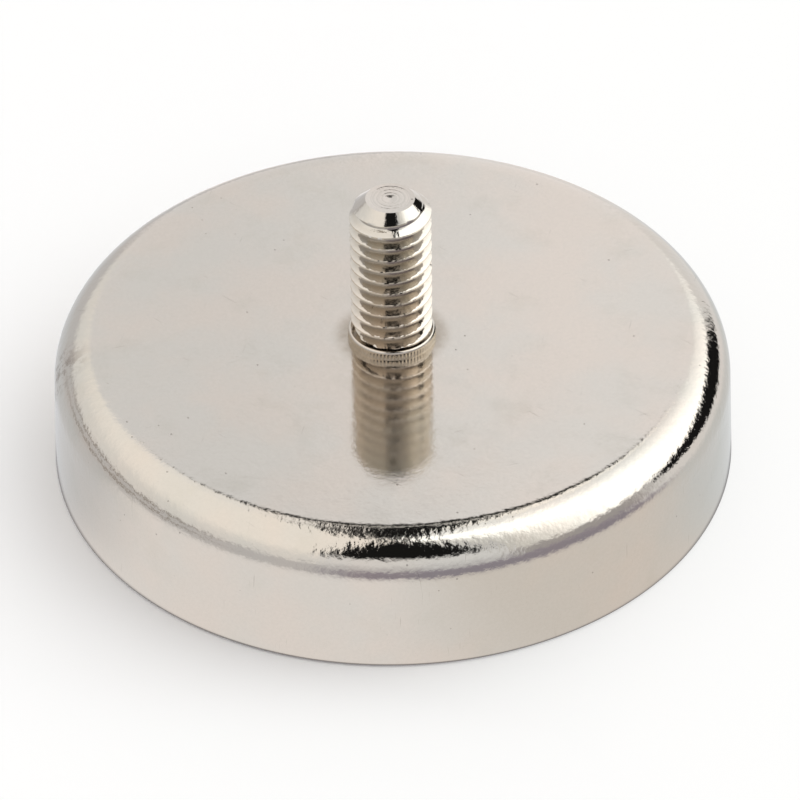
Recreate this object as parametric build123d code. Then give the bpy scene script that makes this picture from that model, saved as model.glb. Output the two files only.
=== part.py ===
from build123d import *
import os

# A round pot magnet with a threaded stud, for lifting steel out of water on a line.
# Origin: centre of the magnetic face (z = 0), +Z along the stud. Millimetres.

# --- driving dimensions ---------------------------------------------------
# Steel cup
cup_diameter = 50.0
cup_height = 10.2
wall_draft = 0.4            # how much the wall leans in, rim to shoulder
shoulder_radius = 3.1
pocket_diameter = 44.0
floor_thickness = 4.2
pocket_corner_radius = 0.5
rim_edge_radius = 0.3

# Stud: M6 x 1 thread on a knurled shank that is pressed through the cup floor
thread_diameter = 5.92
thread_pitch = 1.0
thread_depth = 0.6134 * thread_pitch
thread_crest_width = thread_pitch / 8
stud_projection = 12.27     # above the cup's top
tip_flat_diameter = 3.56
tip_bevel_height = 1.1
tip_dimple_diameter = 1.4
tip_dimple_depth = 0.3
shank_diameter = 6.4
shank_projection = 0.72     # the collar that shows above the cup
shank_edge_radius = 0.06
collar_lip_diameter = 6.08  # the collar's top is hollowed inside this, down to the thread's root
collar_hollow_depth = 0.42
thread_gap = 0.03           # from the collar's top to the first full thread
land_height = 0.25          # plain ring at each end of the thread
head_diameter = 10.0
head_thickness = 1.5

# Magnet and what bonds it in
magnet_diameter = 40.0
magnet_recess = 0.25        # behind the rim, so that steel meets steel on the rim alone
magnet_edge_chamfer = 0.4
glue_film = 0.15
centring_ring_height = 1.5
resin_recess = 0.3
resin_dip = 0.15            # the resin sinks a little between rim and magnet as it cures

# --- worked out from them -------------------------------------------------
cup_radius = cup_diameter / 2
pocket_radius = pocket_diameter / 2
pocket_depth = cup_height - floor_thickness
magnet_radius = magnet_diameter / 2
magnet_top = pocket_depth - glue_film
ring_top = magnet_top - magnet_edge_chamfer
shank_radius = shank_diameter / 2
head_radius = head_diameter / 2
thread_radius = thread_diameter / 2
root_radius = thread_radius - thread_depth
stud_top = cup_height + stud_projection
collar_top = cup_height + shank_projection
thread_start = collar_top + thread_gap
bevel_start = stud_top - tip_bevel_height


def ring(outer_radius, inner_radius, bottom, top):
    """A plain ring about Z, from bottom to top."""
    blank = Pos(0, 0, bottom) * Cylinder(
        outer_radius, top - bottom, align=(Align.CENTER, Align.CENTER, Align.MIN)
    )
    bore = Pos(0, 0, bottom) * Cylinder(
        inner_radius, top - bottom, align=(Align.CENTER, Align.CENTER, Align.MIN)
    )
    return blank - bore


def disc(radius, bottom, top):
    """A plain disc about Z, from bottom to top."""
    return Pos(0, 0, bottom) * Cylinder(
        radius, top - bottom, align=(Align.CENTER, Align.CENTER, Align.MIN)
    )


def turned(*points):
    """A solid turned about Z from an outline of (radius, height) points."""
    outline = Plane.XZ * Polyline(*points, close=True)
    return revolve(make_face(outline), Axis.Z)


def circles_at(shape, radius, height):
    """The edges of a turned shape that lie at one radius and height."""
    return [
        edge
        for edge in shape.edges().filter_by(GeomType.CIRCLE)
        if abs(edge.radius - radius) < 0.01 and abs(edge.center().Z - height) < 0.01
    ]


def pocket():
    """The space inside the cup: a round pocket with a rounded corner at its floor."""
    space = disc(pocket_radius, 0, pocket_depth)
    return fillet(circles_at(space, pocket_radius, pocket_depth), pocket_corner_radius)


def cup_shell():
    """Nickel-plated steel cup: drafted wall, rounded shoulder, hole for the stud."""
    shell = turned(
        (0, 0),
        (cup_radius, 0),
        (cup_radius - wall_draft, cup_height),
        (0, cup_height),
    )
    shell = fillet(circles_at(shell, cup_radius - wall_draft, cup_height), shoulder_radius)
    shell = fillet(circles_at(shell, cup_radius, 0), rim_edge_radius)
    shell -= pocket()
    shell = chamfer(circles_at(shell, pocket_radius, 0), rim_edge_radius)
    shell -= disc(head_radius, pocket_depth, pocket_depth + head_thickness)
    return shell - disc(shank_radius, pocket_depth, cup_height)


def thread_groove():
    """The helical groove of the thread, as one solid to cut from the stud."""
    clear = 0.3
    half_crest = thread_crest_width / 2
    half_mouth = thread_pitch / 2 - half_crest
    half_floor = thread_pitch / 8
    flare = (half_mouth - half_floor) * clear / thread_depth
    first_turn = thread_start + land_height + half_mouth
    last_turn = bevel_start - land_height - half_mouth
    path = Helix(thread_pitch, last_turn - first_turn, root_radius)
    section = Plane.XZ * Polyline(
        (root_radius, -half_floor),
        (thread_radius + clear, -half_mouth - flare),
        (thread_radius + clear, half_mouth + flare),
        (root_radius, half_floor),
        close=True,
    )
    return Pos(0, 0, first_turn) * sweep(make_face(section), path=path, is_frenet=True)


def threaded_stud():
    """Steel stud: head under the floor, knurled shank with a hollowed top, M6 thread, tip."""
    crest_taper = 0.01      # the thread's crests lie just below the plain rings at its ends
    blank = turned(
        (0, pocket_depth),
        (head_radius, pocket_depth),
        (head_radius, pocket_depth + head_thickness),
        (shank_radius, pocket_depth + head_thickness),
        (shank_radius, collar_top),
        (collar_lip_diameter / 2, collar_top),
        (root_radius, collar_top - collar_hollow_depth),
        (root_radius, thread_start),
        (thread_radius, thread_start),
        (thread_radius, thread_start + land_height),
        (thread_radius - crest_taper, thread_start + land_height),
        (thread_radius - 2 * crest_taper, bevel_start - land_height),
        (thread_radius, bevel_start - land_height),
        (thread_radius, bevel_start),
        (tip_flat_diameter / 2, stud_top),
        (0, stud_top),
    )
    blank = fillet(circles_at(blank, shank_radius, collar_top), shank_edge_radius)
    blank -= turned(
        (0, stud_top),
        (tip_dimple_diameter / 2, stud_top),
        (0, stud_top - tip_dimple_depth),
    )
    return blank - thread_groove()


def magnet_disc():
    """Neodymium disc, nickel plated, with bevelled edges."""
    magnet = disc(magnet_radius, magnet_recess, magnet_top)
    return chamfer(magnet.edges().filter_by(GeomType.CIRCLE), magnet_edge_chamfer)


def magnet_adhesive():
    """Glue film on the magnet's back, squeezed out into the corner above the ring."""
    return pocket() - disc(pocket_radius, 0, ring_top) - magnet_disc()


def centring_ring():
    """Non-magnetic ring at the foot of the gap, which keeps the magnet central."""
    return ring(pocket_radius, magnet_radius, ring_top - centring_ring_height, ring_top)


def resin_seal():
    """Potting resin that fills the gap from the centring ring to the magnetic face."""
    top = ring_top - centring_ring_height
    middle = (pocket_radius + magnet_radius) / 2
    edge = resin_recess + magnet_edge_chamfer
    outline = Plane.XZ * (
        Line((magnet_radius, edge), (magnet_radius, top))
        + Line((magnet_radius, top), (pocket_radius, top))
        + Line((pocket_radius, top), (pocket_radius, edge))
        + ThreePointArc((pocket_radius, edge), (middle, edge + resin_dip), (magnet_radius, edge))
    )
    return revolve(make_face(outline), Axis.Z)


sub_parts = {
    "cup_shell": cup_shell,
    "threaded_stud": threaded_stud,
    "magnet_disc": magnet_disc,
    "magnet_adhesive": magnet_adhesive,
    "centring_ring": centring_ring,
    "resin_seal": resin_seal,
}

os.makedirs("parts", exist_ok=True)
for name, make in sub_parts.items():
    export_step(make(), f"parts/{name}.step")
    print("wrote", name)
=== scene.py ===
import math
import bpy
from mathutils import Matrix, Vector


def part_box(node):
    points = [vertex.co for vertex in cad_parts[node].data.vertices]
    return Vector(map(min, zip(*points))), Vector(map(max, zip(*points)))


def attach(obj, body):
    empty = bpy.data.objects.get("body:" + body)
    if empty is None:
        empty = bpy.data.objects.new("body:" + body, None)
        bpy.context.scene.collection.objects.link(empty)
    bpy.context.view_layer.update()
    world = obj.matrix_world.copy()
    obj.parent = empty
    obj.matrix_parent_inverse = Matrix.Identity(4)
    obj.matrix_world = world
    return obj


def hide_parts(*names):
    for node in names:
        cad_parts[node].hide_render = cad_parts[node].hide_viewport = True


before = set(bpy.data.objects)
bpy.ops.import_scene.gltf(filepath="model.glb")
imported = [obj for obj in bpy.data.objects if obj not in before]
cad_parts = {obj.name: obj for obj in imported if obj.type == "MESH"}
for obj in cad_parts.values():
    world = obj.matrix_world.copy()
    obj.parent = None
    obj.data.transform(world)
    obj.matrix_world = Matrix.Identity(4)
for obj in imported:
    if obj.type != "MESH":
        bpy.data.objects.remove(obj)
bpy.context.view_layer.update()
mm = 0.001
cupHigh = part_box("cup_shell")[1]
studLow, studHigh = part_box("threaded_stud")
print("frame loaded:", sorted(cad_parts))


# Node helpers: sums on sockets, and one way to make a node

class Value:
    def __init__(self, tree, socket):
        self.tree = tree
        self.socket = socket

    def math(self, operation, *others):
        return self.tree.value("ShaderNodeMath", {"operation": operation}, [self, *others])

    def flipped(self, operation, other):
        return self.tree.value("ShaderNodeMath", {"operation": operation}, [other, self])

    def __add__(self, other):
        return self.math("ADD", other)

    def __sub__(self, other):
        return self.math("SUBTRACT", other)

    def __mul__(self, other):
        return self.math("MULTIPLY", other)

    def __truediv__(self, other):
        return self.math("DIVIDE", other)

    def __pow__(self, other):
        return self.math("POWER", other)

    def __rsub__(self, other):
        return self.flipped("SUBTRACT", other)

    def __rtruediv__(self, other):
        return self.flipped("DIVIDE", other)

    def __neg__(self):
        return self.math("MULTIPLY", -1.0)

    __radd__ = __add__
    __rmul__ = __mul__

    def lower(self, other):
        return self.math("MINIMUM", other)

    def higher(self, other):
        return self.math("MAXIMUM", other)

    def above(self, other):
        return self.math("GREATER_THAN", other)

    def ramp(self, start, end, low=0.0, high=1.0):
        settings = {"interpolation_type": "SMOOTHSTEP"}
        return self.tree.value("ShaderNodeMapRange", settings, [self, start, end, low, high])

    def line(self, start, end, low=0.0, high=1.0):
        return self.tree.value("ShaderNodeMapRange", None, [self, start, end, low, high])

    def band(self, start, end, soft):
        return self.ramp(start - soft, start + soft) * self.ramp(end + soft, end - soft)


class Tree:
    def __init__(self, nodeTree):
        self.nodeTree = nodeTree
        nodeTree.nodes.clear()

    def add(self, kind, settings=None, inputs=None):
        node = self.nodeTree.nodes.new(kind)
        for name, setting in (settings or {}).items():
            setattr(node, name, setting)
        given = inputs or {}
        for key, value in given.items() if isinstance(given, dict) else enumerate(given):
            self.put(node.inputs[key], value)
        return node

    def put(self, socket, value):
        if isinstance(value, Value):
            self.nodeTree.links.new(value.socket, socket)
        elif isinstance(value, bpy.types.NodeSocket):
            self.nodeTree.links.new(value, socket)
        else:
            socket.default_value = value

    def value(self, kind, settings=None, inputs=None, output=0):
        return Value(self, self.add(kind, settings, inputs).outputs[output])

    def split(self, vector):
        node = self.add("ShaderNodeSeparateXYZ", None, [vector])
        return [Value(self, socket) for socket in node.outputs]

    def join(self, x, y, z):
        return self.value("ShaderNodeCombineXYZ", None, [x, y, z])

    def mix(self, factor, colourA, colourB):
        inputs = {0: factor, 6: colourA, 7: colourB}
        return self.value("ShaderNodeMix", {"data_type": "RGBA"}, inputs, 2)

    def noise(self, place, size, detail=2.0, roughness=0.5):
        inputs = {"Vector": place, "Scale": 1 / size, "Detail": detail, "Roughness": roughness}
        return self.value("ShaderNodeTexNoise", None, inputs, "Fac")

    def cells(self, place, size):
        return self.value("ShaderNodeTexVoronoi", None, {"Vector": place, "Scale": 1 / size}, "Distance")

    def vectorMath(self, operation, *vectors):
        return self.value("ShaderNodeVectorMath", {"operation": operation}, vectors)

    def scaled(self, vector, scale):
        inputs = {"Vector": vector, "Scale": scale}
        return self.value("ShaderNodeVectorMath", {"operation": "SCALE"}, inputs)

    def bump(self, height):
        return self.value("ShaderNodeBump", None, {"Height": height, "Distance": 1.0, "Strength": 1.0})


# Nickel plating, for the cup, the stud and the magnet

def scratches(tree, place, look):
    # hairlines: a noise stretched along each direction, kept only here and there
    stretch = (1 / look["scratchWidth"], 1 / look["scratchLength"], 1 / look["scratchLength"])
    lines = None
    for degrees in look["scratchDegrees"]:
        turned = tree.value("ShaderNodeVectorRotate", {"rotation_type": "Z_AXIS"}, {
            "Vector": place, "Angle": math.radians(degrees)})
        line = tree.noise(tree.vectorMath("MULTIPLY", turned, stretch), 1.0, 0.0)
        line = line.ramp(*look["scratchRange"])
        lines = line if lines is None else lines.higher(line)
    hereAndThere = tree.noise(place, look["scratchLength"], 0.0).ramp(*look["scratchPatches"])
    return lines * hereAndThere * look["scratchDepth"]


def nickel(name, look):
    material = bpy.data.materials.new(name)
    material.use_nodes = True
    tree = Tree(material.node_tree)
    place = tree.value("ShaderNodeTexCoord", output="Object")
    x, y, z = tree.split(place)
    radius = (x * x + y * y) ** 0.5
    shoulder = radius.ramp(*look["shoulderRadii"]) * z.ramp(*look["shoulderHeights"])

    cloud = tree.noise(place, look["cloudSize"], 3.0, 0.55).ramp(*look["cloudRange"])
    stain = tree.noise(place, look["stainSize"], 4.0, 0.6).ramp(*look["stainRange"])
    grain = tree.noise(place, look["grainSize"], 3.0, 0.7)
    haze = tree.noise(place, look["hazeSize"], 3.0, 0.6)
    scratch = scratches(tree, place, look)
    speck = tree.cells(place, look["speckSpacing"]).ramp(*look["speckRange"], 1.0, 0.0)
    speck = speck * tree.noise(place, look["speckSpacing"] * 3, 0.0).ramp(*look["speckPatches"])

    worn = tree.noise(place, look["scuffGrain"], 4.0, 0.7).ramp(*look["scuffRange"])
    fromScuff = tree.value("ShaderNodeVectorMath", {"operation": "DISTANCE"}, [
        place, look["scuffPlace"]], "Value")
    scuff = fromScuff.ramp(look["scuffSize"], look["scuffSize"] * look["scuffCore"]) * worn

    # painted shade: the thread's roots are darkened, except near the tip where no turn hangs over them
    groove = radius.ramp(*look["grooveRadii"]) * z.above(cupHigh.z) * z.ramp(*look["grooveHeights"])
    # painted shade: a mottled dark ring on the cup's top round the stud's foot, and over the collar
    mottle = tree.noise(place, look["footMottle"], 4.0, 0.6).ramp(*look["footRange"], 0.5, 1.0)
    footShade = radius.ramp(*look["footRadii"]) * z.band(*look["footHeights"], look["footFade"]) * mottle

    tint = tree.mix(cloud, look["colour"], look["cloudColour"])
    tint = tree.mix(stain * look["stainDepth"], tint, look["stainColour"])
    tint = tree.mix(grain.ramp(*look["grainRange"], 0.0, look["grainDepth"]), tint, look["grainColour"])
    tint = tree.mix(speck * look["speckDepth"], tint, look["speckColour"])
    tint = tree.mix(scratch, tint, look["scratchColour"])
    tint = tree.mix(scuff * look["scuffDepth"], tint, look["scuffColour"])
    # painted shade in the thread roots and round the stud's foot, in one shade colour
    tint = tree.mix(groove * look["rootShadeDepth"], tint, look["paintedShadeColour"])
    tint = tree.mix(footShade * look["footShadeDepth"], tint, look["paintedShadeColour"])

    spread = look["roughness"] * look["hazeSpread"]
    rough = haze.ramp(*look["hazeRange"], look["roughness"] - spread, look["roughness"] + spread)
    rough = rough + stain * look["stainRoughness"] + speck * look["speckRoughness"]
    rough = rough * (1.0 - shoulder) + shoulder * look["shoulderRoughness"]
    rough = rough + scuff * look["scuffRoughness"] + groove * look["grooveRoughness"]
    rough = rough + footShade * look["footShadeDepth"] * look["footRoughness"]

    coarse = tree.noise(place, look["peelSize"], 1.5, 0.5) * look["peelHeight"]
    fine = tree.noise(place, look["finePeelSize"], 2.0, 0.6) * look["finePeelHeight"]
    peel = (coarse + fine) * (shoulder * (1.0 - look["flatPeel"]) + look["flatPeel"])
    peel = peel + grain * look["grainHeight"] + scuff * grain * look["scuffHeight"]
    peel = peel - speck * look["speckPit"] - scratch * look["scratchPit"]

    surface = tree.add("ShaderNodeBsdfPrincipled", None, {
        "Base Color": tint, "Metallic": 1.0, "Roughness": rough, "Normal": tree.bump(peel)})
    tree.add("ShaderNodeOutputMaterial", None, {"Surface": surface.outputs[0]})
    return material


plating = {
    "colour": (0.686, 0.630, 0.568, 1), "roughness": 0.09,
    "cloudColour": (0.654, 0.628, 0.578, 1), "cloudSize": 9 * mm, "cloudRange": (0.36, 0.64),
    "hazeSize": 6 * mm, "hazeRange": (0.3, 0.7), "hazeSpread": 0.15,
    "stainColour": (0.55, 0.53, 0.46, 1), "stainSize": 5 * mm, "stainRange": (0.50, 0.72),
    "stainDepth": 0.22, "stainRoughness": 0.03,
    "grainColour": (0.50, 0.47, 0.43, 1), "grainSize": 0.25 * mm, "grainRange": (0.3, 0.7),
    "grainDepth": 0.10, "grainHeight": 2.0e-6,
    "speckColour": (0.10, 0.09, 0.08, 1), "speckSpacing": 1.6 * mm,
    "speckRange": (0.035, 0.06), "speckPatches": (0.46, 0.54),
    "speckDepth": 0.4, "speckRoughness": 0.2, "speckPit": 4e-6,
    "scratchColour": (0.25, 0.23, 0.21, 1), "scratchDegrees": (12, 74, 131),
    "scratchWidth": 0.09 * mm, "scratchLength": 2.6 * mm,
    "scratchRange": (0.79, 0.85), "scratchPatches": (0.56, 0.66),
    "scratchDepth": 0.22, "scratchPit": 2e-6,
    "scuffColour": (0.33, 0.285, 0.245, 1), "scuffPlace": (-23.6 * mm, -2.0 * mm, 8.2 * mm),
    "scuffSize": 3.0 * mm, "scuffCore": 0.3, "scuffGrain": 0.9 * mm, "scuffRange": (0.42, 0.60),
    "scuffDepth": 0.75, "scuffRoughness": 0.25, "scuffHeight": 4e-6,
    # painted shade: colour and masks for the darkened thread roots and the stud's foot
    "paintedShadeColour": (0.42, 0.365, 0.295, 1), "grooveRadii": (2.92 * mm, 2.55 * mm),
    "grooveHeights": (studHigh.z - 1.1 * mm, studHigh.z - 1.6 * mm),
    "rootShadeDepth": 0.42, "grooveRoughness": 0.03,
    # painted shade round the stud's foot, also on the stud's collar
    "footRadii": (4.6 * mm, 3.3 * mm), "footHeights": (cupHigh.z - 1.0 * mm, cupHigh.z + 0.7 * mm),
    "footFade": 0.3 * mm, "footMottle": 0.7 * mm, "footRange": (0.2, 0.7),
    "footShadeDepth": 0.75, "footRoughness": 0.12,
    "shoulderRadii": (20.8 * mm, 23.0 * mm), "shoulderHeights": (5.6 * mm, 7.0 * mm),
    "shoulderRoughness": 0.04,
    "peelSize": 0.58 * mm, "peelHeight": 25e-6,
    "finePeelSize": 0.2204 * mm, "finePeelHeight": 9.5e-6, "flatPeel": 0.15,
}
noShoulder = (1.0, 1.1)     # radii that no part of the piece reaches
cupNickel = nickel("nickel_cup", plating)
studNickel = nickel("nickel_stud", {
    **plating, "roughness": 0.06, "stainDepth": 0.04, "speckSpacing": 2.2 * mm,
    "scratchDepth": 0.0, "footShadeDepth": 0.5, "grainHeight": 0.0, "shoulderRadii": noShoulder,
    "peelSize": 0.30 * mm, "peelHeight": 6e-6, "finePeelSize": 0.114 * mm,
    "finePeelHeight": 3e-6, "flatPeel": 1.0,
})
magnetNickel = nickel("nickel_magnet", {
    **plating, "roughness": 0.12, "shoulderRadii": noShoulder, "flatPeel": 0.12,
})
print("plating made")


# Turned shapes

def arc(centreRadius, centreHeight, radius, startDegrees, endDegrees, steps):
    points = []
    for step in range(steps + 1):
        angle = math.radians(startDegrees + (endDegrees - startDegrees) * step / steps)
        points.append((centreRadius + radius * math.cos(angle),
                       centreHeight + radius * math.sin(angle)))
    return points


def run(start, end, steps):
    return [(start[0] + (end[0] - start[0]) * step / steps,
             start[1] + (end[1] - start[1]) * step / steps) for step in range(1, steps)]


def softShade(mesh):
    mesh.shade_smooth()
    mesh.set_sharp_from_angle(angle=math.radians(40))


def lathe(name, outlines, columns, closed=False):
    # each outline runs with the material on its right, so that faces point outwards
    vertices = []
    faces = []
    for outline in outlines:
        rings = []
        for ringRadius, height in outline:
            start = len(vertices)
            if ringRadius < 1e-9:
                vertices.append((0.0, 0.0, height))
                rings.append([start] * columns)
                continue
            for column in range(columns):
                angle = 2 * math.pi * column / columns
                vertices.append((ringRadius * math.cos(angle), ringRadius * math.sin(angle), height))
            rings.append(list(range(start, start + columns)))
        pairs = list(zip(rings, rings[1:])) + ([(rings[-1], rings[0])] if closed else [])
        for first, second in pairs:
            for column in range(columns):
                following = (column + 1) % columns
                corners = [first[column], first[following], second[following], second[column]]
                face = list(dict.fromkeys(corners))
                if len(face) > 2:
                    faces.append(face)
    mesh = bpy.data.meshes.new(name)
    mesh.from_pydata(vertices, [], faces)
    mesh.validate()
    softShade(mesh)
    piece = bpy.data.objects.new(name, mesh)
    bpy.context.scene.collection.objects.link(piece)
    return piece


def baked(piece, modifier):
    # the modifier's result as the piece's own plain mesh
    graph = bpy.context.evaluated_depsgraph_get()
    mesh = bpy.data.meshes.new_from_object(piece.evaluated_get(graph))
    piece.modifiers.remove(modifier)
    piece.data = mesh
    softShade(mesh)
    return piece


def geometryTree(name, inputs):
    group = bpy.data.node_groups.new(name, "GeometryNodeTree")
    group.interface.new_socket("Geometry", in_out="INPUT", socket_type="NodeSocketGeometry")
    for inputName in inputs:
        kind = "NodeSocketInt" if inputName.endswith("Count") else "NodeSocketFloat"
        group.interface.new_socket(inputName, in_out="INPUT", socket_type=kind)
    group.interface.new_socket("Geometry", in_out="OUTPUT", socket_type="NodeSocketGeometry")
    tree = Tree(group)
    given = tree.add("NodeGroupInput")
    named = {socket.name: Value(tree, socket) for socket in given.outputs if socket.name}
    return group, tree, named


def useTree(piece, group, sizes):
    modifier = piece.modifiers.new(group.name, "NODES")
    modifier.node_group = group
    for item in group.interface.items_tree:
        if item.in_out == "INPUT" and item.name in sizes:
            modifier[item.identifier] = sizes[item.name]
    return baked(piece, modifier)


def endTree(tree, geometry, material):
    realized = tree.value("GeometryNodeRealizeInstances", None, [geometry])
    painted = tree.value("GeometryNodeSetMaterial", None, {"Geometry": realized, "Material": material})
    tree.add("NodeGroupOutput", None, [painted])


# Cup: a drawn steel pot, with the gentle hammering of its shoulder as real relief

cupSizes = {
    "radius": 25.0 * mm, "height": cupHigh.z, "draft": 0.4 * mm, "shoulder": 3.1 * mm,
    "rimEdge": 0.3 * mm, "pocketRadius": 22.0 * mm, "floor": 4.2 * mm, "pocketCorner": 0.5 * mm,
    "headRadius": 5.0 * mm, "headDepth": 1.5 * mm, "holeRadius": 3.2 * mm, "easing": 0.08,
    "columns": 720, "topSteps": 30, "shoulderSteps": 56, "wallSteps": 14,
    "edgeSteps": 6, "cornerSteps": 5,
}


def shoulderCurve(s, leanAngle, end):
    # the drawn shoulder turns gently at first, then evenly, down to the lean of the wall
    steps = s["shoulderSteps"]
    points = [(0.0, 0.0)]
    for step in range(steps):
        share = (step + 0.5) / steps
        tilt = math.radians((90 - leanAngle) * (1 + s["easing"]) * share ** 2 / (share + s["easing"]))
        points.append((points[-1][0] + math.cos(tilt), points[-1][1] - math.sin(tilt)))
    scale = (end[1] - s["height"]) / points[-1][1]
    start = end[0] - points[-1][0] * scale
    return [(start + point[0] * scale, s["height"] + point[1] * scale) for point in points]


def cupOutline(s):
    leanAngle = math.degrees(math.atan(s["draft"] / s["height"]))
    lean = math.radians(leanAngle)
    tangent = s["shoulder"] * math.tan(math.radians(90 - leanAngle) / 2)
    shoulderCentre = s["radius"] - s["draft"] - tangent
    shoulderEnd = (shoulderCentre + s["shoulder"] * math.cos(lean),
                   s["height"] - s["shoulder"] * (1 - math.sin(lean)))
    ceiling = s["height"] - s["floor"]
    shoulder = shoulderCurve(s, leanAngle, shoulderEnd)
    points = [(s["holeRadius"], ceiling + s["headDepth"])]
    points += [(s["holeRadius"], s["height"])]
    points += run(points[-1], shoulder[0], s["topSteps"]) + shoulder
    edgeRadius = s["rimEdge"]
    edgeCentre = s["radius"] - edgeRadius * math.tan(math.radians((90 + leanAngle) / 2))
    wallFoot = (edgeCentre + edgeRadius * math.cos(lean), edgeRadius + edgeRadius * math.sin(lean))
    points += run(points[-1], wallFoot, s["wallSteps"])
    points += arc(edgeCentre, edgeRadius, edgeRadius, leanAngle, -90, s["edgeSteps"])
    points += [(s["pocketRadius"] + s["rimEdge"], 0.0), (s["pocketRadius"], s["rimEdge"])]
    corner = s["pocketCorner"]
    points += arc(s["pocketRadius"] - corner, ceiling - corner, corner, 0, 90, s["cornerSteps"])
    points += [(s["headRadius"], ceiling), (s["headRadius"], ceiling + s["headDepth"])]
    return points[::-1]


cup = lathe("cup", [cupOutline(cupSizes)], cupSizes["columns"], closed=True)

group, tree, given = geometryTree("hammeredShoulder", [
    "Relief", "Relief size", "Inner radius", "Inner fade", "Lower height", "Lower fade"])
place = tree.value("GeometryNodeInputPosition")
x, y, z = tree.split(place)
radius = (x * x + y * y) ** 0.5
onShoulder = radius.ramp(given["Inner radius"], given["Inner radius"] + given["Inner fade"])
onShoulder = onShoulder * z.ramp(
    given["Lower height"] - given["Lower fade"], given["Lower height"] + given["Lower fade"])
relief = tree.noise(place, given["Relief size"])
inward = (relief - 1.0) * onShoulder * given["Relief"]
normal = tree.value("GeometryNodeInputNormal")
moved = tree.value("GeometryNodeSetPosition", None, {
    "Geometry": given["Geometry"], "Offset": tree.scaled(normal, inward)})
endTree(tree, moved, cupNickel)
useTree(cup, group, {
    "Relief": 0.012 * mm, "Relief size": 1.4 * mm, "Inner radius": 21.2 * mm, "Inner fade": 0.8 * mm,
    "Lower height": 7.0 * mm, "Lower fade": 0.6 * mm,
})
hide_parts("cup_shell")
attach(cup, "root")
print("cup made:", len(cup.data.polygons), "faces")


# Stud: turned ends joined by a helical thread, on a knurled collar

studSizes = {
    "columns": 300, "rowsPerTurn": 16, "turns": 15,
    "majorRadius": 2.96 * mm, "threadDepth": 0.6134 * mm, "pitch": 1.0 * mm, "threadGap": 0.03 * mm,
    "tipRadius": 1.78 * mm, "tipBevel": 1.1 * mm, "dish": 0.012 * mm,
    "turnedRings": (0.62, 0.99, 1.27, 1.40), "ringDepth": 0.005 * mm, "ringWidth": 0.05,
    "dimpleRadius": 0.34 * mm, "dimpleDepth": 0.032 * mm,
    "shankRadius": 3.2 * mm, "collarTop": cupHigh.z + 0.72 * mm, "collarEdge": 0.20 * mm,
    "lipRadius": 3.04 * mm, "hollow": 0.42 * mm, "headRadius": 5.0 * mm, "headDepth": 1.5 * mm,
    "underTop": 0.3 * mm, "collarSteps": 12, "edgeSteps": 5, "hollowSteps": 4, "tipSteps": 60,
}


def studFoot(s):
    low = studLow.z
    edge = s["collarEdge"]
    points = [(0.0, low), (s["headRadius"], low), (s["headRadius"], low + s["headDepth"]),
              (s["shankRadius"], low + s["headDepth"]), (s["shankRadius"], cupHigh.z - s["underTop"])]
    points += run(points[-1], (s["shankRadius"], s["collarTop"] - edge), s["collarSteps"])
    points += arc(s["shankRadius"] - edge, s["collarTop"] - edge, edge, 0, 90, s["edgeSteps"])
    points += [(s["lipRadius"], s["collarTop"])]
    threadFoot = (s["majorRadius"] - s["threadDepth"], s["collarTop"] - s["hollow"])
    return points + run(points[-1], threadFoot, s["hollowSteps"]) + [threadFoot]


def studTip(s):
    # the end face as the tool left it: slightly dished, ringed, with a dimple at the centre
    points = []
    for step in range(s["tipSteps"] + 1):
        radius = s["tipRadius"] * (1 - step / s["tipSteps"])
        dip = s["dish"] * (1 - (radius / s["tipRadius"]) ** 4)
        for ring in s["turnedRings"]:
            dip += s["ringDepth"] * math.exp(-((radius / mm - ring) / s["ringWidth"]) ** 2)
        dip += s["dimpleDepth"] * math.exp(-(radius / s["dimpleRadius"]) ** 2)
        points.append((radius, studHigh.z - dip))
    return points


stud = lathe("stud", [studFoot(studSizes), studTip(studSizes)], studSizes["columns"])

group, tree, given = geometryTree("threadAndKnurl", [
    "Columns Count", "Rows Count", "Rows per turn", "First turn", "Bottom", "Top", "Thread start",
    "Major radius", "Thread depth", "Pitch", "Crest half", "Root start", "Start slope",
    "Tip radius", "Tip bevel", "Nick size", "Nick depth",
    "Teeth", "Tooth depth", "Knurl bottom", "Knurl bottom fade", "Knurl top", "Knurl top fade",
    "Knurl inner radius", "Knurl outer radius"])

# a flat sheet is rolled into a sleeve whose rows climb one pitch a turn
grid = tree.add("GeometryNodeMeshGrid", None, {
    "Size X": 1.0, "Size Y": 1.0, "Vertices X": given["Columns Count"], "Vertices Y": given["Rows Count"]})
place = tree.value("GeometryNodeInputPosition")
across, along, _ = tree.split(place)
turn = across + 0.5
row = (along + 0.5) * ((given["Rows Count"] - 1.0) / given["Rows per turn"])
height = (row + turn + given["First turn"]) * given["Pitch"] + given["Bottom"]
height = height.higher(given["Bottom"]).lower(given["Top"])
fromCrest = (row.math("FRACT") - 0.5).math("ABSOLUTE")
groove = fromCrest.line(given["Crest half"], given["Root start"])
threaded = given["Major radius"] - given["Thread depth"] * groove
bevelled = given["Tip radius"] + (given["Top"] - height) * (
    (given["Major radius"] - given["Tip radius"]) / given["Tip bevel"])
rootRadius = given["Major radius"] - given["Thread depth"]
relieved = rootRadius + (height - given["Thread start"]).higher(0.0) * given["Start slope"]
sleeveRadius = threaded.lower(bevelled).lower(relieved)
angle = turn * (2 * math.pi)
rolled = tree.join(sleeveRadius * angle.math("COSINE"), sleeveRadius * angle.math("SINE"), height)

# small nicks press the crests inwards, and fade out towards the tip
nick = tree.noise(rolled, given["Nick size"], 2.0, 0.6).ramp(0.45, 0.75) * (groove - 1.0)
nick = nick * height.above(given["Thread start"]) * (given["Top"] - height).ramp(0.0, given["Pitch"])
outward = tree.vectorMath("NORMALIZE", tree.vectorMath("MULTIPLY", rolled, (1.0, 1.0, 0.0)))
nicked = tree.vectorMath("ADD", rolled, tree.scaled(outward, nick * given["Nick depth"]))
sleeve = tree.value("GeometryNodeSetPosition", None, {"Geometry": grid.outputs["Mesh"], "Position": nicked})

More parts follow.
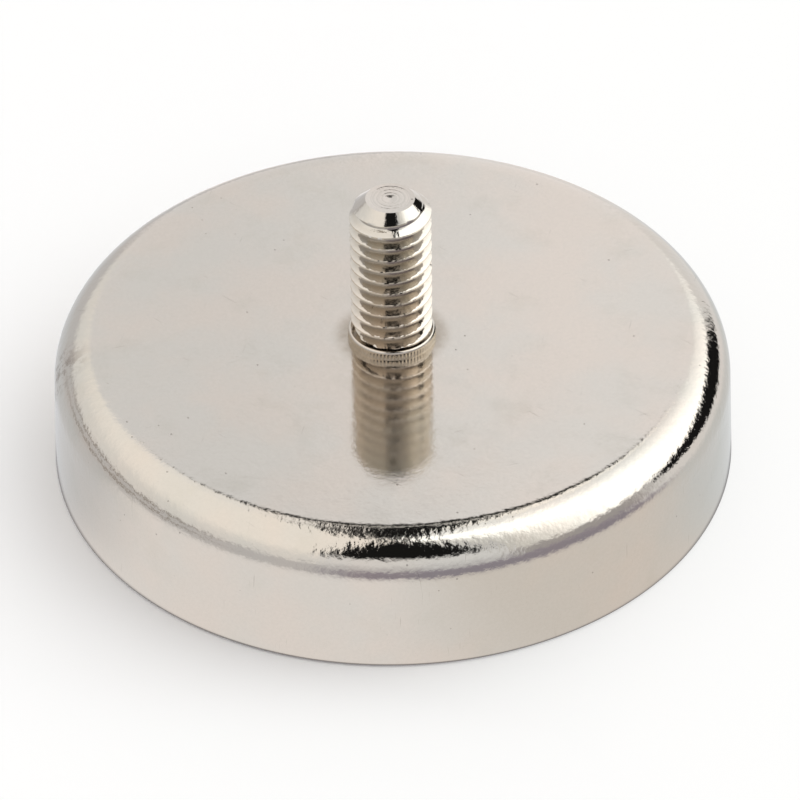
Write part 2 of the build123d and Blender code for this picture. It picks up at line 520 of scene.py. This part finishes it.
# the collar's teeth, with flat tops
x, y, z = tree.split(place)
radius = (x * x + y * y) ** 0.5
onKnurl = z.ramp(given["Knurl bottom"], given["Knurl bottom"] + given["Knurl bottom fade"])
onKnurl = onKnurl * z.ramp(given["Knurl top"], given["Knurl top"] - given["Knurl top fade"])
onKnurl = onKnurl * radius.ramp(given["Knurl inner radius"], given["Knurl outer radius"])
tooth = (y.math("ARCTAN2", x) * given["Teeth"] + math.pi / 4).math("COSINE") * 0.5 - 0.25
factor = 1.0 + tooth * onKnurl * given["Tooth depth"] / radius.higher(1e-6)
knurled = tree.join(x * factor, y * factor, z)
body = tree.value("GeometryNodeSetPosition", None, {"Geometry": given["Geometry"], "Position": knurled})

joined = tree.add("GeometryNodeJoinGeometry")
tree.put(joined.inputs[0], body)
tree.put(joined.inputs[0], sleeve)
welded = tree.value("GeometryNodeMergeByDistance", None, {"Geometry": joined.outputs[0], "Distance": 2e-6})
endTree(tree, welded, studNickel)
useTree(stud, group, {
    "Columns Count": studSizes["columns"] + 1,
    "Rows Count": studSizes["rowsPerTurn"] * studSizes["turns"] + 1,
    "Rows per turn": float(studSizes["rowsPerTurn"]), "First turn": -1.7,
    "Bottom": studSizes["collarTop"] - studSizes["hollow"], "Top": studHigh.z,
    "Thread start": studSizes["collarTop"] + studSizes["threadGap"],
    "Major radius": studSizes["majorRadius"], "Thread depth": studSizes["threadDepth"],
    "Pitch": studSizes["pitch"], "Crest half": 1 / 16, "Root start": 0.345, "Start slope": 6.0,
    "Tip radius": studSizes["tipRadius"], "Tip bevel": studSizes["tipBevel"],
    "Nick size": 0.35 * mm, "Nick depth": 0.035 * mm, "Teeth": 75.0, "Tooth depth": 0.075 * mm,
    "Knurl bottom": cupHigh.z + 0.04 * mm, "Knurl bottom fade": 0.12 * mm,
    "Knurl top": cupHigh.z + 0.52 * mm, "Knurl top fade": 0.10 * mm,
    "Knurl inner radius": 3.04 * mm, "Knurl outer radius": 3.12 * mm,
})
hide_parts("threaded_stud")
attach(stud, "root")
print("stud made:", len(stud.data.polygons), "faces")


# Underside: magnet, potting resin, and the hidden glue and ring

clouded = {"cloudSize": 3 * mm, "shade": 0.8, "roughnessSpread": 0.15,
           "rippleSize": 1.2 * mm, "rippleHeight": 20e-6}


def resin(name, colour, roughness):
    material = bpy.data.materials.new(name)
    material.use_nodes = True
    tree = Tree(material.node_tree)
    place = tree.value("ShaderNodeTexCoord", output="Object")
    cloud = tree.noise(place, clouded["cloudSize"], 4.0, 0.6)
    darker = tuple(clouded["shade"] * part for part in colour[:3]) + (1,)
    ripple = tree.noise(place, clouded["rippleSize"]) * clouded["rippleHeight"]
    surface = tree.add("ShaderNodeBsdfPrincipled", None, {
        "Base Color": tree.mix(cloud.ramp(0.4, 0.7), colour, darker),
        "Roughness": cloud.ramp(0.3, 0.7, roughness, roughness + clouded["roughnessSpread"]),
        "Normal": tree.bump(ripple)})
    tree.add("ShaderNodeOutputMaterial", None, {"Surface": surface.outputs[0]})
    return material


finishes = {
    "magnet_disc": magnetNickel,
    "magnet_adhesive": resin("amber_glue", (0.42, 0.30, 0.12, 1), 0.25),
    "centring_ring": resin("ring_brass", (0.60, 0.45, 0.20, 1), 0.3),
    "resin_seal": resin("potting_resin", (0.62, 0.60, 0.55, 1), 0.2),
}
for node, material in finishes.items():
    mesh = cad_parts[node].data
    mesh.materials.clear()
    mesh.materials.append(material)


# Studio: wide softboxes left and right, with dark gaps between them and over the object

studio = {
    "seen": (1.0, 1.0, 1.0, 1), "gap": (0.012, 0.012, 0.012, 1),
    "backWall": (1.06, 1.04, 1.05, 1), "backWallLeft": (0.92, 0.91, 0.92, 1),
    "wallTopLeft": (1.13, 1.09, 1.05, 1), "wallTopRight": (1.50, 1.47, 1.40, 1),
    "leftBox": (0.95, 0.935, 0.915, 1), "leftBoxTop": (1.17, 1.12, 1.06, 1),
    "leftLow": (0.68, 0.67, 0.68, 1), "leftLine": (0.40, 0.37, 0.34, 1),
    "rightBoxStart": (0.80, 0.79, 0.76, 1), "rightBox": (1.9, 1.9, 1.85, 1),
    "rightBoxEnd": (1.12, 1.12, 1.12, 1), "rightLow": (0.48, 0.46, 0.46, 1),
    "farRight": (0.93, 0.92, 0.92, 1), "horizon": (0.38, 0.345, 0.40, 1),
    "front": (0.92, 0.92, 0.93, 1), "frontLow": (0.60, 0.59, 0.61, 1),
    "belowFront": (0.70, 0.70, 0.70, 1), "belowBack": (1.25, 1.23, 1.21, 1),
    "wallSpan": (150, 166), "wallTurn": (-0.04, 0.035), "wallTopTurn": (-0.10, 0.20),
    "wallTopRise": (41, 45), "behindSpan": (85, 95), "frontRise": (2, 30),
    "leftSpan": (24, 164), "leftBoxRise": (10, 22), "leftTopRise": (24, 50),
    "leftLineSpan": (60, 130), "leftLineRises": ((11, 14), (-1, 3)),
    "rightSpan": (38, 166), "rightBoxRise": (17, 27), "rightStartTurn": (36, 84),
    "rightEndTurn": (128, 166), "farRightTurn": (75, 95),
    "horizonSpan": (-18, 75), "horizonRise": (-12, 6), "belowTurn": (-0.6, 0.6), "belowRise": (-15, -40),
    "lowGapSpan": (90, 146), "lowGapTurn": (90, 130), "lowGapHalf": (2.5, 15.0),
    "lowGapRise": (15.0, 9.0), "frontGapSpan": (-25, 32), "frontGapRise": (35, 45),
    "backGapWidth": (-0.07, 0.11), "backGapRise": (42.5, 48),
    "topGapWidth": (-0.05, 0.07), "topGapRise": (49, 80),
    "overheadWidth": (-0.03, 0.045), "overheadRise": (78, 80),
    "topShadeWidth": (-0.095, -0.02), "topShadeRise": (58, 81), "topShade": 0.9,
}


def studioWorld(s):
    world = bpy.data.worlds.new("studio")
    world.use_nodes = True
    tree = Tree(world.node_tree)
    x, y, z = tree.split(tree.value("ShaderNodeTexCoord", output="Generated"))
    bearing = x.math("ARCTAN2", -y) * (180 / math.pi)      # degrees, 0 to the front and + to the right
    rise = z.math("ARCSINE") * (180 / math.pi)
    away = bearing.math("ABSOLUTE")
    behind = away.ramp(*s["behindSpan"])

    wall = tree.mix(x.ramp(*s["wallTurn"]), s["backWallLeft"], s["backWall"])
    wallTop = tree.mix(x.ramp(*s["wallTopTurn"]), s["wallTopLeft"], s["wallTopRight"])
    wall = tree.mix(rise.ramp(*s["wallTopRise"]), wall, wallTop)
    front = tree.mix(rise.ramp(*s["frontRise"]), s["frontLow"], s["front"])
    colour = tree.mix(away.ramp(*s["wallSpan"]), front, wall)

    left = tree.mix(rise.ramp(*s["leftBoxRise"]), s["leftLow"], s["leftBox"])
    left = tree.mix(rise.ramp(*s["leftTopRise"]), left, s["leftBoxTop"])
    upperLine, lowerLine = s["leftLineRises"]
    leftLines = rise.band(*upperLine, 1).higher(rise.band(*lowerLine, 1.5))
    left = tree.mix(leftLines * (-bearing).band(*s["leftLineSpan"], 20), left, s["leftLine"])
    colour = tree.mix((-bearing).band(*s["leftSpan"], 4), colour, left)

    right = tree.mix(bearing.line(*s["rightEndTurn"]), s["rightBox"], s["rightBoxEnd"])
    right = tree.mix(bearing.ramp(*s["rightStartTurn"]), s["rightBoxStart"], right)
    rightLow = tree.mix(bearing.ramp(*s["farRightTurn"]), s["rightLow"], s["farRight"])
    onRight = bearing.band(*s["rightSpan"], 4)
    colour = tree.mix(
        onRight * rise.ramp(*s["rightBoxRise"]), tree.mix(onRight, colour, rightLow), right)

    gapHalf = bearing.line(*s["lowGapTurn"], *s["lowGapHalf"])
    fromGap = (rise - bearing.line(*s["lowGapTurn"], *s["lowGapRise"])).math("ABSOLUTE")
    lowGap = bearing.band(*s["lowGapSpan"], 3) * (gapHalf - fromGap).ramp(-1.5, 1.5)
    frontGap = bearing.band(*s["frontGapSpan"], 4) * rise.ramp(*s["frontGapRise"])
    backGap = x.band(*s["backGapWidth"], 0.02) * rise.band(*s["backGapRise"], 1.2) * behind
    topGap = x.band(*s["topGapWidth"], 0.012) * rise.band(*s["topGapRise"], 2) * behind
    overhead = x.band(*s["overheadWidth"], 0.012) * rise.ramp(*s["overheadRise"])
    topShade = x.band(*s["topShadeWidth"], 0.02) * rise.band(*s["topShadeRise"], 4) * s["topShade"]
    dark = lowGap.higher(frontGap).higher(backGap).higher(topGap).higher(overhead).higher(topShade)
    colour = tree.mix(dark, colour, s["gap"])
    horizon = bearing.band(*s["horizonSpan"], 12) * rise.band(*s["horizonRise"], 5)
    colour = tree.mix(horizon, colour, s["horizon"])

    below = tree.mix(y.ramp(*s["belowTurn"]), s["belowFront"], s["belowBack"])
    colour = tree.mix(rise.ramp(*s["belowRise"]), colour, below)

    camera = tree.value("ShaderNodeLightPath", output="Is Camera Ray")
    background = tree.add("ShaderNodeBackground", None, {
        "Color": tree.mix(camera, colour, s["seen"]), "Strength": 1.0})
    tree.add("ShaderNodeOutputWorld", None, {"Surface": background.outputs[0]})
    bpy.context.scene.world = world


paper = {
    "colour": (0.968, 0.978, 1.0, 1), "glowLift": (1.0, 1.0, 0.99, 1), "contactShadow": (0.30, 0.29, 0.30, 1),
    "liftRight": (-10 * mm, 32 * mm, 0.0, 0.8), "liftFront": (-24 * mm, -34 * mm, 0.0, 0.45),
    "nearFront": (1.00, 0.98, 0.98, 1), "nearRight": (0.86, 0.81, 0.77, 1),
    "nearFarRight": (0.75, 0.77, 0.78, 1), "nearLeft": (0.70, 0.71, 0.73, 1),
    "farFront": (0.36, 0.33, 0.38, 1), "farLeft": (0.68, 0.67, 0.68, 1),
    "farRight": (0.93, 0.92, 0.92, 1), "farFrontSpan": (-18, 78),
    "nearTurn": (-4 * mm, 14 * mm), "farTurn": (-10 * mm, 10 * mm),
    "side": (18 * mm, 25 * mm), "behindFront": (-20 * mm, -5 * mm),
    "nearEnd": 38 * mm, "reach": (-30 * mm, 0.0, 110 * mm, 72 * mm), "edge": (25.0 * mm, 25.4 * mm),
    "height": -0.02 * mm, "rings": (0.0, 0.6, 3.0), "columns": 64,
}


def paperMaterial(s):
    # plain white to the eye; to the metal's reflections it glows in painted tones: brighter in front,
    # darker to the sides with a painted shadow on the left, a painted contact shadow round the cup's foot,
    # and a far end that falls off into the room
    material = bpy.data.materials.new("white_paper")
    material.use_nodes = True
    tree = Tree(material.node_tree)
    x, y, _ = tree.split(tree.value("ShaderNodeTexCoord", output="Object"))
    radius = (x * x + y * y) ** 0.5
    bearing = x.math("ARCTAN2", -y) * (180 / math.pi)
    behindFront = y.ramp(*s["behindFront"])
    near = tree.mix(x.ramp(*s["nearTurn"]), s["nearFront"], s["nearRight"])
    near = tree.mix(x.ramp(*s["side"]) * behindFront, near, s["nearFarRight"])
    near = tree.mix((-x).ramp(*s["side"]) * behindFront, near, s["nearLeft"])
    far = tree.mix(x.ramp(*s["farTurn"]), s["farLeft"], s["farRight"])
    far = tree.mix(bearing.band(*s["farFrontSpan"], 12), far, s["farFront"])
    mirrored = tree.mix(radius.ramp(s["nearEnd"], x.ramp(*s["reach"])), near, far)
    # a painted contact shadow round the cup's foot, seen only in reflections
    mirrored = tree.mix(radius.ramp(*s["edge"]), s["contactShadow"], mirrored)

    matte = tree.add("ShaderNodeBsdfDiffuse", None, {"Color": s["colour"]})
    # a painted glow lifts the paper to full white on the right and at the front
    glowLift = tree.add("ShaderNodeEmission", None, {"Color": s["glowLift"]})
    lifted = x.ramp(*s["liftRight"]).higher(y.ramp(*s["liftFront"]))
    plain = tree.add("ShaderNodeMixShader", None, [lifted, matte.outputs[0], glowLift.outputs[0]])
    # reflections see the floor as a glow in these painted tones, not as lit paper
    glow = tree.add("ShaderNodeEmission", None, {"Color": mirrored})
    glossy = tree.value("ShaderNodeLightPath", output="Is Glossy Ray")
    upper = tree.add("ShaderNodeMixShader", None, [glossy, plain.outputs[0], glow.outputs[0]])
    clear = tree.add("ShaderNodeBsdfTransparent")
    below = tree.value("ShaderNodeNewGeometry", output="Backfacing")
    sheet = tree.add("ShaderNodeMixShader", None, [below, upper.outputs[0], clear.outputs[0]])
    tree.add("ShaderNodeOutputMaterial", None, {"Surface": sheet.outputs[0]})
    return material


studioWorld(studio)
floor = lathe("floor", [[(ring, paper["height"]) for ring in paper["rings"]]], paper["columns"])
floor.data.flip_normals()
floor.data.materials.append(paperMaterial(paper))

bpy.context.scene.view_settings.view_transform = "Standard"

view = {"lens": 225.4, "elevation": 38.813, "roll": -0.752, "distance": 371.3 * mm,
        "across": 0.520 * mm, "above": 3.103 * mm}
elevation = math.radians(view["elevation"])
forward = Vector((0, math.cos(elevation), -math.sin(elevation)))
sideways = Vector((1, 0, 0))
upwards = sideways.cross(forward)
target = sideways * view["across"] + upwards * view["above"]
turned = Matrix((sideways, upwards, -forward)).transposed() @ Matrix.Rotation(
    math.radians(view["roll"]), 3, "Z")
camera = bpy.data.objects.new("camera", bpy.data.cameras.new("camera"))
bpy.context.scene.collection.objects.link(camera)
camera.data.lens = view["lens"]
camera.data.sensor_width = 36.0
camera.data.clip_start = 0.01
camera.matrix_world = Matrix.Translation(target - forward * view["distance"]) @ turned.to_4x4()
bpy.context.scene.camera = camera
print("studio and camera set")
